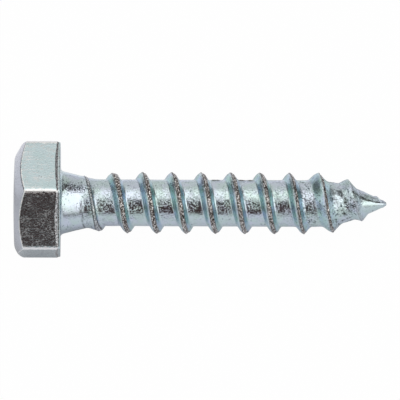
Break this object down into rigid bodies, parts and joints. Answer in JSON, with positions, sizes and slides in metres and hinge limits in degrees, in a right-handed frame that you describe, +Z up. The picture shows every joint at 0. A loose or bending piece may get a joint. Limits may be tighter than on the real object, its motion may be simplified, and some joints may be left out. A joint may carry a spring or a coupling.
{
  "type": "lag screw",
  "caption": "Zinc-plated hex-head lag screw with a tapered neck, coarse rolled wood thread and gimlet point, lying on its side.",
  "frame": {"origin": "centre of the head's bearing face, on the screw's axis", "axes": "the screw lies as it rests: its axis points along +X towards the tip and dips 5.07 degrees, because the head's flat and a thread crest near the tip touch the ground; +Z up"},
  "size_m": [0.0574, 0.0193, 0.0173],
  "materials": {
    "zinc_plated_steel": "bright zinc plating, blue passivated, over cold-formed steel"
  },
  "bodies": {
    "root": {"lag_screw": "zinc_plated_steel"}
  },
  "joints": []
}
